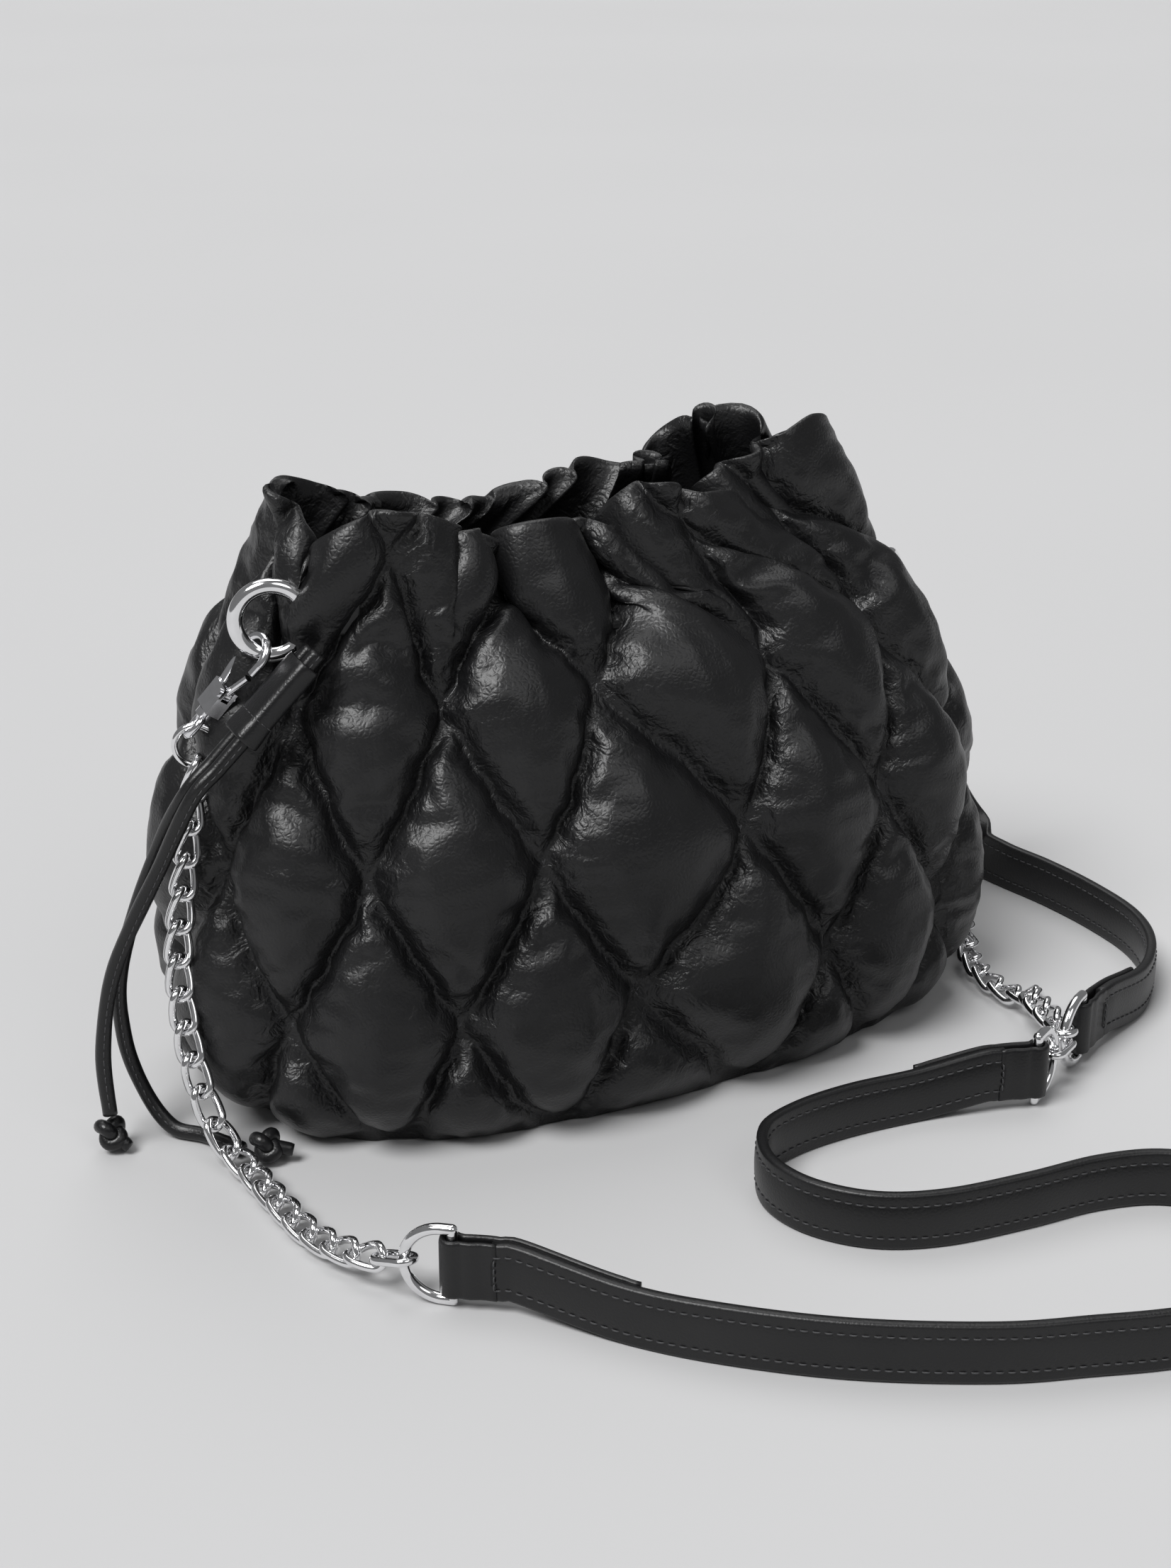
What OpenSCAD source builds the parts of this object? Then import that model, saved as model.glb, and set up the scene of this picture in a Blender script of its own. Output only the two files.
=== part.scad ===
// Quilted drawstring bucket bag with rings, snap hooks, chains and leather straps. Millimetres, +Z up.
// Origin: middle of the base on the floor. The front faces -Y, the long side lies along X.

/* [Bag] */
// Width over the belly
bag_w = 301; // [280:1:320]
// Depth over the belly
bag_d = 160; // [150:1:172]
// Height to the ears of the rim
bag_h = 210; // [200:1:220]
// How far a quilted cell stands out from its seams
puff_h = 7; // [3:0.5:7]
// Depth of the gathers at the rim
gather_h = 3; // [1:0.5:3]

/* [Hardware] */
// Outer diameter of the side rings
ring_od = 27; // [26.5:0.1:27.5]
// Wire diameter of the side rings
ring_wire = 5; // [4.6:0.1:5]
// Wire diameter of the D-rings
dee_wire = 3.5; // [3:0.1:3.6]
// Wire diameter of a chain link
link_wire = 2.6; // [2.2:0.1:2.6]
// Outer width of a chain link
link_w = 9.6; // [9.4:0.1:10]

/* [Leather] */
// Width of the straps
strap_w = 19; // [17:0.5:19]
// Thickness of the straps
strap_t = 4; // [3:0.5:4]
// Diameter of the rolled drawcords
cord_d = 5; // [4:0.5:5]

/* [Hidden] */
$fn = 48;
columns = 72;
panel_columns = columns / 2;
column_step = 360 / columns;
soft_columns = 48;
soft_step = 360 / soft_columns;

leather_t = 1.2;
gap = 0.2;
base_t = 1.5;
board_t = 2;
wadding_t = 4;
lining_t = 0.8;
facing_t = 1;

// Outline of the pouch: share of the half width and half depth at a share of the height.
width_curve = [[0, 0.85], [0.06, 0.925], [0.21, 0.955], [0.45, 0.935], [0.64, 0.85], [0.79, 0.765], [0.9, 0.69], [1, 0.62]];
depth_curve = [[0, 0.88], [0.06, 0.93], [0.21, 0.93], [0.45, 0.87], [0.64, 0.7], [0.79, 0.5], [0.9, 0.36], [1, 0.3]];
shift_curve = [[0, 0], [0.45, 0], [0.64, -4], [0.79, -7], [1, -11]];
lean_curve = [[0, -5], [0.6, -4], [1, 0]];
corner_power = 0.8;
even_spacing = 8;

// Quilting: diamonds, seams where across + up or across - up is a whole number.
cells_round = 12;
cell_angle = 360 / cells_round;
cell_h = bag_h / 2.1;
seam_angle = 279;
seam_z = bag_h * 0.443;
row_h = cell_h / 12;
seam_rows = 20;
rim_rows = 4;
puff_round = 0.38;
rim_dip = 0.09;
casing_z = seam_rows * row_h;
casing_low = casing_z - 15;
gathers = 12;

function share(z) = z / bag_h;
function half_w(z) = bag_w / 2 * lookup(share(z), width_curve);
function half_d(z) = bag_d / 2 * lookup(share(z), depth_curve);
function squared(c) = sign(c) * pow(abs(c), corner_power);
function around(s) = s + even_spacing * sin(2 * s);
function ramp(x) = min(1, max(0, x));

// A point of the pouch at angle s and height z, moved outward by out.
function skin(s, z, out) = [
    lookup(share(z), shift_curve) + (half_w(z) + out) * squared(cos(around(s))),
    lookup(share(z), lean_curve) + (half_d(z) + out) * squared(sin(around(s))),
    z];
function quilt(s, z) =
    let (across = (s - seam_angle) / cell_angle, up = (z - seam_z) / cell_h)
    puff_h * pow(abs(sin(180 * (across + up)) * sin(180 * (across - up))), puff_round) * ramp(z / 25);
function gather(s, z) = gather_h * sin(gathers * s) * ramp((z - casing_low) / (bag_h - casing_low));
function rim_z(s) = bag_h * (1 - rim_dip * pow(sin(s), 2));
function row_z(j, s) = j <= seam_rows ? j * row_h : casing_z + (rim_z(s) - casing_z) * (j - seam_rows) / rim_rows;
function relief(s, z) = quilt(s, z) * ramp((bag_h - z) / 30) + gather(s, z);

// Mesh helpers: a capped row of rings, and rings closed both ways.
function ring_faces(rings, n, closed) = [
    for (i = [0 : rings - (closed ? 1 : 2)]) for (j = [0 : n - 1])
        [i * n + j, i * n + (j + 1) % n, (i + 1) % rings * n + (j + 1) % n, (i + 1) % rings * n + j]];
module sweep(rings) {
    n = len(rings[0]);
    first_cap = [for (j = [n - 1 : -1 : 0]) j];
    last_cap = [for (j = [0 : n - 1]) (len(rings) - 1) * n + j];
    polyhedron([for (r = rings) each r], concat(ring_faces(len(rings), n, false), [first_cap, last_cap]), convexity = 6);
}
module wrap(rings) {
    polyhedron([for (r = rings) each r], ring_faces(len(rings), len(rings[0]), true), convexity = 6);
}

// Routes: a smooth curve through hand-set points, and places along it.
function between(a, b, c, d, t) =
    0.5 * (2 * b + (c - a) * t + (2 * a - 5 * b + 4 * c - d) * t * t + (3 * b - a - 3 * c + d) * t * t * t);
function smooth(p, k) = let (last = len(p) - 1) concat(
    [for (i = [0 : last - 1]) for (j = [0 : k - 1])
        between(p[max(i - 1, 0)], p[i], p[i + 1], p[min(i + 2, last)], j / k)],
    [p[last]]);
function lengths(p) = [for (i = 0, s = 0; i < len(p); s = s + norm(p[min(i + 1, len(p) - 1)] - p[i]), i = i + 1) s];
function place(p, run, s) = [for (k = [0 : 2]) lookup(s, [for (i = [0 : len(p) - 1]) [run[i], p[i][k]]])];
function unit(v) = v / norm(v);
function heading(p, i) = unit(p[min(i + 1, len(p) - 1)] - p[max(i - 1, 0)]);
function tilt_of(t) = [atan2(-t.y, t.z), asin(t.x)];
module along(p, t) {
    translate(p) rotate([tilt_of(t)[0], 0, 0]) rotate([0, tilt_of(t)[1], 0]) children();
}
function turned(t, a, r) = let (q = tilt_of(t), x = r * cos(a), y = r * sin(a)) [
    x * cos(q[1]),
    y * cos(q[0]) + x * sin(q[1]) * sin(q[0]),
    y * sin(q[0]) - x * sin(q[1]) * cos(q[0])];
module tube(route, k, d, sides) {
    p = smooth(route, k);
    sweep([for (i = [0 : len(p) - 1]) [for (j = [0 : sides - 1]) p[i] + turned(heading(p, i), -360 * j / sides, d / 2)]]);
}
// A flat strap: each route point is [place, direction of the strap's width].
module ribbon(route, k, w, t) {
    p = smooth([for (r = route) r[0]], k);
    wide = smooth([for (r = route) r[1]], k);
    sweep([for (i = [0 : len(p) - 1])
        let (across = unit(wide[i]) * w / 2, face = unit(cross(heading(p, i), wide[i])) * t / 2)
        [p[i] + across + face, p[i] - across + face, p[i] - across - face, p[i] + across - face]]);
}
module torus(middle_r, wire) {
    rotate_extrude() translate([middle_r, 0]) circle(d = wire);
}

// ---------- pouch ----------
function panel_loop(s) = concat(
    [for (j = [0 : seam_rows + rim_rows]) let (z = row_z(j, s)) skin(s, z, relief(s, z))],
    [for (j = [seam_rows + rim_rows : -1 : 0]) let (z = row_z(j, s)) skin(s, z, relief(s, z) - leather_t)]);
module quilted_panel(from) {
    side_gap = 0.1;
    color([0.07, 0.07, 0.08]) sweep([for (i = [0 : panel_columns])
        panel_loop(from + side_gap + i * (180 - 2 * side_gap) / panel_columns)]);
}
module front_panel() { quilted_panel(180); }
module back_panel() { quilted_panel(0); }

module floor_plate(z, t, out) {
    translate([0, 0, z]) linear_extrude(t)
        polygon([for (i = [0 : columns - 1]) let (p = skin(i * column_step, 0, out)) [p.x, p.y]]);
}
module base_panel() {
    color([0.06, 0.06, 0.07]) floor_plate(0, base_t, -leather_t - gap);
}
board_z = base_t + gap;
module base_board() {
    color([0.5, 0.4, 0.3]) floor_plate(board_z, board_t, -leather_t - 3);
}
soft_z = board_z + board_t + gap;
soft_top = casing_low - 4;
soft_rows = 9;
wadding_out = -leather_t - 3;
lining_out = wadding_out - wadding_t - 4 * gap;
function soft_row(j) = soft_z + (soft_top - soft_z) * pow(j / soft_rows, 1.3);
function soft_ring(z, out) = [for (i = [soft_columns - 1 : -1 : 0]) skin(i * soft_step, z, out)];
module soft_wall(outer, t) {
    wrap(concat([for (j = [0 : soft_rows]) soft_ring(soft_row(j), outer)],
        [for (j = [soft_rows : -1 : 0]) soft_ring(soft_row(j), outer - t)]));
}
module wadding() {
    color([0.85, 0.85, 0.82]) soft_wall(wadding_out, wadding_t);
}
module lining_wall() {
    color([0.25, 0.22, 0.2]) soft_wall(lining_out, lining_t);
}
module lining_floor() {
    color([0.25, 0.22, 0.2]) floor_plate(soft_z, lining_t, lining_out - lining_t - gap);
}
facing_rows = [for (k = [0, 0.5]) casing_low + (casing_z - casing_low) * k];
function facing_out(z) = lookup(z, [[casing_z, -leather_t - 8], [casing_z + 14, -leather_t - 2.4], [bag_h, -leather_t - 1]]);
function facing_ring(j, t) = [for (i = [columns - 1 : -1 : 0])
    let (s = i * column_step, z = j < 2 ? facing_rows[j] : row_z(seam_rows + j - 2, s))
    skin(s, z, facing_out(z) + (j < 2 ? 0 : relief(s, z)) - t)];
module rim_facing() {
    steps = 2 + rim_rows;
    color([0.1, 0.1, 0.11]) wrap(concat([for (j = [0 : steps]) facing_ring(j, 0)],
        [for (j = [steps : -1 : 0]) facing_ring(j, facing_t)]));
}
// The hidden part of the cord: it runs round inside the casing.
casing_cord_z = casing_z - 9;
casing_cord_d = 3.6;
casing_cord_out = -leather_t - 5.2;
module casing_cord() {
    sides = 8;
    color([0.05, 0.05, 0.05]) wrap([for (i = [0 : soft_columns - 1])
        let (c = skin(i * soft_step, casing_cord_z, casing_cord_out), v = unit([c.x / half_w(casing_cord_z), c.y / half_d(casing_cord_z), 0]))
        [for (j = [0 : sides - 1]) c + casing_cord_d / 2 * (cos(-360 * j / sides) * v + [0, 0, sin(-360 * j / sides)])]]);
}

// ---------- side rings and their tabs ----------
ring_r = (ring_od - ring_wire) / 2;
left_ring_at = [-121, -29, 174];
left_ring_turn = -20;
right_ring_at = [144, 22.5, 133];
right_ring_turn = 42;
tab_w = 11;
tab_t = 1.4;
tab_sag = ring_r - sqrt(ring_r * ring_r - tab_w * tab_w / 4);
tab_bore = ring_wire / 2 + tab_sag / 2 + 0.5;
tab_tongue = 7;
module ring_frame(at, turn) { translate(at) rotate([0, 0, turn]) children(); }
module side_ring() {
    color([0.85, 0.85, 0.87]) rotate([90, 0, 0]) torus(ring_r, ring_wire);
}
// A folded strip round the ring's wire; side is 1 when the bag lies toward local +X.
module ring_tab(side) {
    color([0.08, 0.08, 0.09]) translate([side * (ring_r - tab_sag / 2), 0, -tab_w / 2]) difference() {
        union() {
            cylinder(r = tab_bore + tab_t, h = tab_w);
            translate([side > 0 ? 0 : -tab_bore - tab_tongue, -tab_t, 0]) cube([tab_bore + tab_tongue, 2 * tab_t, tab_w]);
        }
        translate([0, 0, -1]) cylinder(r = tab_bore, h = tab_w + 2);
    }
}
module ring_left() { ring_frame(left_ring_at, left_ring_turn) side_ring(); }
module ring_right() { ring_frame(right_ring_at, right_ring_turn) side_ring(); }
module tab_left() { ring_frame(left_ring_at, left_ring_turn) ring_tab(1); }
module tab_right() { ring_frame(right_ring_at, right_ring_turn) ring_tab(-1); }

// ---------- swivel snap hooks: local Z runs from the swivel to the bow ----------
bow_r = 6.2;
bow_wire = 3;
bow_z = 23;
block = [8, 5.2, 10];
pivot = [2.2, 0, 7.8];
pin_r = 0.7;
slot_w = 2.7;
gate_wire = 2.4;
stem_r = 1.2;
head_r = 1.9;
eye_r = 4.2;
eye_wire = 2.4;
collar_h = 2.5;
eye_z = -collar_h - eye_r + 0.6;
grip_z = bow_z + bow_r - bow_wire / 2 - ring_wire / 2 - 0.8;

module rod(a, b, d) {
    v = b - a;
    translate(a) rotate([0, acos(v.z / norm(v)), atan2(v.y, v.x)]) cylinder(d = d, h = norm(v));
}
module hook_body() {
    color([0.8, 0.8, 0.82]) difference() {
        union() {
            translate([-block.x / 2, -block.y / 2, 0]) cube(block);
            rod([-2.9, 0, 8], [-bow_r, 0, bow_z], bow_wire);
            rod([bow_r, 0, bow_z], [bow_r - 0.3, 0, bow_z - 3.8], bow_wire);
            translate([0, 0, bow_z]) rotate([90, 0, 0]) rotate_extrude(angle = 180) translate([bow_r, 0]) circle(d = bow_wire);
        }
        translate([0, 0, -1]) cylinder(r = stem_r + 0.08, h = 5);
        translate([0, 0, 3.9]) cylinder(r = head_r + 0.15, h = 1.6);
        translate([0.4, -slot_w / 2, 5.9]) cube([block.x, slot_w, block.z]);
        translate([pivot.x, -block.y, pivot.z]) rotate([-90, 0, 0]) cylinder(r = pin_r + 0.01, h = 2 * block.y);
    }
}
module hook_gate() {
    eye = 1.6;
    color([0.75, 0.75, 0.78]) difference() {
        union() {
            translate([pivot.x, -gate_wire / 2, pivot.z]) rotate([-90, 0, 0]) cylinder(r = eye, h = gate_wire);
            rod(pivot + [0.25, 0, 1], [bow_r - 0.6, 0, bow_z - 5.6], gate_wire);
        }
        translate([pivot.x, -gate_wire, pivot.z]) rotate([-90, 0, 0]) cylinder(r = pin_r + 0.06, h = 2 * gate_wire);
    }
}
module hook_pin() {
    head = 0.6;
    color([0.7, 0.7, 0.72]) translate([pivot.x, 0, pivot.z]) rotate([-90, 0, 0]) {
        translate([0, 0, -block.y / 2 - 0.02 - head]) cylinder(r = pin_r * 2, h = head);
        translate([0, 0, -block.y / 2 - head]) cylinder(r = pin_r, h = block.y + 2 * head);
        translate([0, 0, block.y / 2 + 0.02]) cylinder(r = pin_r * 2, h = head);
    }
}
module hook_swivel() {
    color([0.8, 0.8, 0.82]) {
        translate([0, 0, -collar_h]) cylinder(r = 2.8, h = collar_h - 0.1);
        translate([0, 0, -1]) cylinder(r = stem_r, h = 5.6);
        translate([0, 0, 4.1]) cylinder(r = head_r, h = 1.2);
        translate([0, 0, eye_z]) rotate([90, 0, 0]) torus(eye_r, eye_wire);
    }
}
// A hook stands at its collar and points up its own axis; roll turns it about that axis.
module hook_frame(at, lean, turn, roll) {
    translate(at) rotate([0, lean, turn]) rotate([0, 0, roll]) children();
}
function hook_axis(lean, turn) = [sin(lean) * cos(turn), sin(lean) * sin(turn), cos(lean)];
// A hook hung on a ring's wire at an angle round the ring.
function hung(at, ring_turn, angle, lean, turn) = [
    at + ring_r * [cos(angle) * cos(ring_turn), cos(angle) * sin(ring_turn), sin(angle)] - grip_z * hook_axis(lean, turn),
    lean, turn];
left_hook = hung(left_ring_at, left_ring_turn, 242, 40, -23);
right_hook = hung(right_ring_at, right_ring_turn, 272, 20, 230);
module at_left(roll) { hook_frame(left_hook[0], left_hook[1], left_hook[2], roll) children(); }
module at_right(roll) { hook_frame(right_hook[0], right_hook[1], right_hook[2], roll) children(); }
left_roll = -62;
right_roll = 82;
module left_hook_body() { at_left(left_roll) hook_body(); }
module left_hook_gate() { at_left(left_roll) hook_gate(); }
module left_hook_pin() { at_left(left_roll) hook_pin(); }
module left_hook_swivel() { at_left(90) hook_swivel(); }
module right_hook_body() { at_right(right_roll) hook_body(); }
module right_hook_gate() { at_right(right_roll) hook_gate(); }
module right_hook_pin() { at_right(right_roll) hook_pin(); }
module right_hook_swivel() { at_right(90) hook_swivel(); }

// ---------- jump rings ----------
jump_r = 6.6;
jump_wire = 2.2;
jump_slack = 1.3;
jump_grip = eye_z - eye_r + eye_wire / 2 + jump_wire / 2 + jump_slack;
function jump_middle(h) = h[0] + jump_grip * hook_axis(h[1], h[2]) - [0, 0, jump_r];
module jump_ring(h) {
    color([0.85, 0.85, 0.87]) translate(jump_middle(h)) rotate([0, 0, h[2]]) rotate([90, 0, 0]) torus(jump_r, jump_wire);
}
module left_jump_ring() { jump_ring(left_hook); }
module right_jump_ring() { jump_ring(right_hook); }

// ---------- chains ----------
link_l = 16.8;
link_bend = (link_w - link_wire) / 2;
link_straight = link_l - link_w;
link_reach = link_l / 2 - link_wire;
module chain_link() {
    rotate([0, 90, 0]) for (side = [0, 180]) rotate([0, 0, side]) {
        translate([link_straight / 2, 0, 0]) rotate([0, 0, -90])
            rotate_extrude(angle = 180) translate([link_bend, 0]) circle(d = link_wire);
        translate([-link_straight / 2, link_bend, 0]) rotate([0, 90, 0]) cylinder(d = link_wire, h = link_straight);
    }
}
// count links between the first and last wire; roll is that of the first link, twist the total extra turn.
module chain(route, count, roll, twist, first_wire, last_wire) {
    p = smooth(route, 6);
    run = lengths(p);
    start = link_reach - first_wire / 2 - 0.3;
    step = (run[len(run) - 1] - 2 * start + (last_wire - first_wire) / 2) / (count - 1);
    echo(chain_step = step);
    color([0.82, 0.82, 0.84]) for (i = [0 : count - 1])
        let (s = start + i * step, c = place(p, run, s), t = unit(place(p, run, s + 3) - place(p, run, s - 3)))
        along(c, t) rotate([0, 0, roll + 90 * i + twist * i / (count - 1)]) chain_link();
}
link_z = link_w / 2 + 0.1;
left_chain_top = jump_middle(left_hook) - [0, 0, jump_r];
right_chain_top = jump_middle(right_hook) - [0, 0, jump_r];

// ---------- D-rings: local Z along the bar, bow toward local +X ----------
dee_in = strap_w + 1;
dee_r = (dee_in + dee_wire) / 2;
dee_z = dee_r + dee_wire / 2;
dee_side = 3;
module dee_ring() {
    color([0.85, 0.85, 0.87]) {
        translate([0, 0, -dee_r]) cylinder(d = dee_wire, h = 2 * dee_r);
        for (z = [-dee_r, dee_r]) {
            translate([0, 0, z]) sphere(d = dee_wire);
            translate([0, 0, z]) rotate([0, 90, 0]) cylinder(d = dee_wire, h = dee_side);
        }
        translate([dee_side, 0, 0]) rotate([90, 0, 0]) rotate([0, 0, -90])
            rotate_extrude(angle = 180) translate([dee_r, 0]) circle(d = dee_wire);
    }
}
dee_reach = dee_side + dee_r;
left_dee = [[-121, -152, dee_z], 140];
// The last two are joined tip to tip by one loose link.
join_turn = 28.8;
join_slack = 0.4;
join_reach = 2 * dee_reach + link_l - 2 * link_wire - dee_wire - join_slack;
join_dee = [[101.3, -136.5, dee_z], join_turn];
short_dee = [join_dee[0] + join_reach * [cos(join_turn), sin(join_turn), 0], join_turn + 180];
module at_dee(d) { translate(d[0]) rotate([0, 0, d[1]]) children(); }
// A point on a D-ring's bow, at an angle above its middle.
function on_bow(d, angle) = d[0] + (dee_side + dee_r * cos(angle)) * [cos(d[1]), sin(d[1]), 0] + [0, 0, dee_r * sin(angle)];
module join_link() {
    color([0.82, 0.82, 0.84]) translate(join_dee[0] + join_reach / 2 * [cos(join_turn), sin(join_turn), 0])
        rotate([0, 0, join_turn]) rotate([0, 90, 0]) chain_link();
}
module dee_left() { at_dee(left_dee) dee_ring(); }
module dee_join() { at_dee(join_dee) dee_ring(); }
module dee_short() { at_dee(short_dee) dee_ring(); }

// ---------- leather loops that hold the D-rings ----------
loop_bore = dee_wire / 2 + 0.08;
loop_r = loop_bore + 1.7;
loop_tail = 12;
module leather_loop(w) {
    color([0.1, 0.1, 0.11]) translate([0, 0, -w / 2]) difference() {
        union() {
            cylinder(r = loop_r, h = w);
            translate([0, -strap_t / 2, 0]) cube([loop_tail, strap_t, w]);
        }
        translate([0, 0, -1]) cylinder(r = loop_bore, h = w + 2);
    }
}
left_loop_turn = -42;
join_loop_turn = 168;
short_loop_turn = 20;
module loop_left() { translate(left_dee[0]) rotate([0, 0, left_loop_turn]) leather_loop(strap_w); }
module loop_join() { translate(join_dee[0]) rotate([0, 0, join_loop_turn]) leather_loop(strap_w); }
module loop_short() { translate(short_dee[0]) rotate([0, 0, short_loop_turn]) leather_loop(strap_w); }
// A strap leaves its loop straight, so that the two ends meet face to face.
lead_run = [0, 3, 8];
function loop_end(d, turn, lead) = d[0] + (loop_tail + 0.1 + lead) * [cos(turn), sin(turn), 0];
function loop_lead(d, turn) = [for (lead = lead_run) [loop_end(d, turn, lead), [0, 0, 1]]];
function backward(p) = [for (i = [len(p) - 1 : -1 : 0]) p[i]];

// The short strap's top end is narrowed and folded round the right ring.
ring_loop_grip = 11;
ring_loop_drop = 35;
ring_loop_tail = 9;
ring_loop_out = [cos(right_ring_turn) * cos(ring_loop_drop), sin(right_ring_turn) * cos(ring_loop_drop), -sin(ring_loop_drop)];
ring_loop_width = [cos(right_ring_turn) * sin(ring_loop_drop), sin(right_ring_turn) * sin(ring_loop_drop), cos(ring_loop_drop)];
ring_loop_end = right_ring_at + (ring_r - tab_sag / 2 + ring_loop_tail + 0.1) * ring_loop_out;
module loop_ring() {
    color([0.1, 0.1, 0.11]) ring_frame(right_ring_at, right_ring_turn) rotate([0, ring_loop_drop, 0])
        translate([ring_r - tab_sag / 2, 0, -ring_loop_grip / 2]) difference() {
            union() {
                cylinder(r = tab_bore + tab_t, h = ring_loop_grip);
                translate([0, -tab_t, 0]) cube([ring_loop_tail, 2 * tab_t, ring_loop_grip]);
            }
            translate([0, 0, -1]) cylinder(r = tab_bore, h = ring_loop_grip + 2);
        }
}

// ---------- routes over the floor ----------
upright = [0, 0, 1];
edge_z = strap_w / 2 + 0.3;
function on_edge(x, y) = [[x, y, edge_z], upright];
left_chain_route = [left_chain_top, [-151, -20, 90], [-156, -24, 65], [-157, -30, 42], [-155, -36, 22],
    [-152, -46, 9], [-149, -62, link_z], [-148, -82, link_z], [-146, -104, link_z], [-141, -124, 8], on_bow(left_dee, 0)];
right_chain_route = [right_chain_top, [157, 26, 60], [163, 14, 36], [162, -6, 18], [153, -26, 8],
    [144, -42, link_z], [139, -57, link_z], [138, -72, link_z], [138, -85, 9], [131, -98, 14],
    on_bow(short_dee, 20)];
long_strap_route = [each loop_lead(left_dee, left_loop_turn), on_edge(-86, -192),
    on_edge(-66, -214), on_edge(-38, -237), on_edge(-4, -257), on_edge(22, -267), on_edge(42, -274),
    on_edge(64, -279), on_edge(88, -276), on_edge(106, -262), on_edge(114, -242), on_edge(112, -222),
    on_edge(98, -206), on_edge(78, -199), on_edge(52, -197), on_edge(24, -193), on_edge(4, -184),
    on_edge(-9, -168), on_edge(-12, -150), on_edge(-4, -134), on_edge(12, -127), on_edge(34, -125),
    on_edge(60, -127), each backward(loop_lead(join_dee, join_loop_turn))];
short_strap_route = [each loop_lead(short_dee, short_loop_turn),
    on_edge(176, -101),
    on_edge(194, -84), on_edge(204, -62), on_edge(206, -36), on_edge(204, -10), on_edge(200, 12),
    [[198, 28, 12], [0.1, 0.2, 1]], [[196, 38, 28], [0.4, 0.5, 0.7]], [[190, 39, 52], [0.6, 0.8, 0.1]],
    [[178, 38, 80], [0.6, 0.8, 0.1]], [[165, 37, 104], [0.55, 0.65, 0.5]], 
    for (lead = backward(lead_run)) [ring_loop_end + lead * ring_loop_out, ring_loop_width]];
module chain_left() { chain(left_chain_route, 21, -left_hook[2], 90 + left_hook[2], jump_wire, dee_wire); }
module chain_right() { chain(right_chain_route, 19, 180 - right_hook[2], right_hook[2] - 90, jump_wire, dee_wire); }
module strap_long() { color([0.1, 0.1, 0.11]) ribbon(long_strap_route, 2, strap_w, strap_t); }
module strap_short() { color([0.1, 0.1, 0.11]) ribbon(short_strap_route, 2, strap_w, strap_t); }
// ---------- drawcord tails, knots and slider ----------
slider_top = [-116, -42.5, 163.5];
slider_end = [-137, -40.5, 142.5];
slider_way = unit(slider_end - slider_top);
slider_l = norm(slider_end - slider_top);
cord_side = [0, 1, 0] * (cord_d / 2 + 0.15);
knot_d = 13;
knot_one = [-181, -20, knot_d / 2];
knot_two = [-139.5, -51, knot_d / 2];
slide_run = 12;
cord_lead = 5;
function down_cord(k) = slider_end + k * slide_run * slider_way;
tail_one_route = [slider_top - slider_way * cord_lead - cord_side, slider_top - cord_side, slider_end - cord_side,
    down_cord(1) - cord_side, down_cord(2) - cord_side, [-163, -34, 102], [-176, -22, 66], [-181, -18, 36], knot_one + [0, 0, knot_d / 2 + 0.1]];
tail_two_route = [slider_top - slider_way * cord_lead + cord_side, slider_top + cord_side, slider_end + cord_side,
    down_cord(1) + cord_side, down_cord(2) + cord_side, [-161, -24, 102], [-171, -12, 62], [-171, -8, 34], [-167, -13, 15], [-161, -21, cord_d / 2 + 1.2],
    [-153, -30, cord_d / 2 + 0.3], knot_two + [-knot_d / 2, 6, -3]];
module tail_one() { color([0.05, 0.05, 0.05]) tube(tail_one_route, 2, cord_d, 8); }
module tail_two() { color([0.05, 0.05, 0.05]) tube(tail_two_route, 2, cord_d, 8); }
module knot(at) { color([0.05, 0.05, 0.05]) translate(at) sphere(d = knot_d); }
module knot_left() { knot(knot_one); }
module knot_right() { knot(knot_two); }
module cord_slider() {
    wall = 1.2;
    bore = [cord_d + 0.8, 2 * cord_d + 1.1];
    v = slider_end - slider_top;
    color([0.08, 0.08, 0.09]) translate(slider_top) rotate([0, acos(v.z / slider_l), atan2(v.y, v.x)])
        linear_extrude(slider_l) difference() {
            square(bore + [2 * wall, 2 * wall], center = true);
            square(bore, center = true);
        }
}

front_panel();
back_panel();
base_panel();
base_board();
wadding();
lining_wall();
lining_floor();
rim_facing();
casing_cord();
tab_left();
tab_right();
ring_left();
ring_right();
left_hook_body();
left_hook_gate();
left_hook_pin();
left_hook_swivel();
right_hook_body();
right_hook_gate();
right_hook_pin();
right_hook_swivel();
left_jump_ring();
right_jump_ring();
chain_left();
chain_right();
join_link();
dee_left();
dee_join();
dee_short();
loop_left();
loop_join();
loop_short();
loop_ring();
strap_long();
strap_short();
tail_one();
tail_two();
knot_left();
knot_right();
cord_slider();
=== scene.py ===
# Blender model of a quilted drawstring bucket bag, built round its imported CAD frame. Metres, +Z up.
import math

import bmesh
import bpy
import numpy as np
from mathutils import Matrix, Vector


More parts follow.
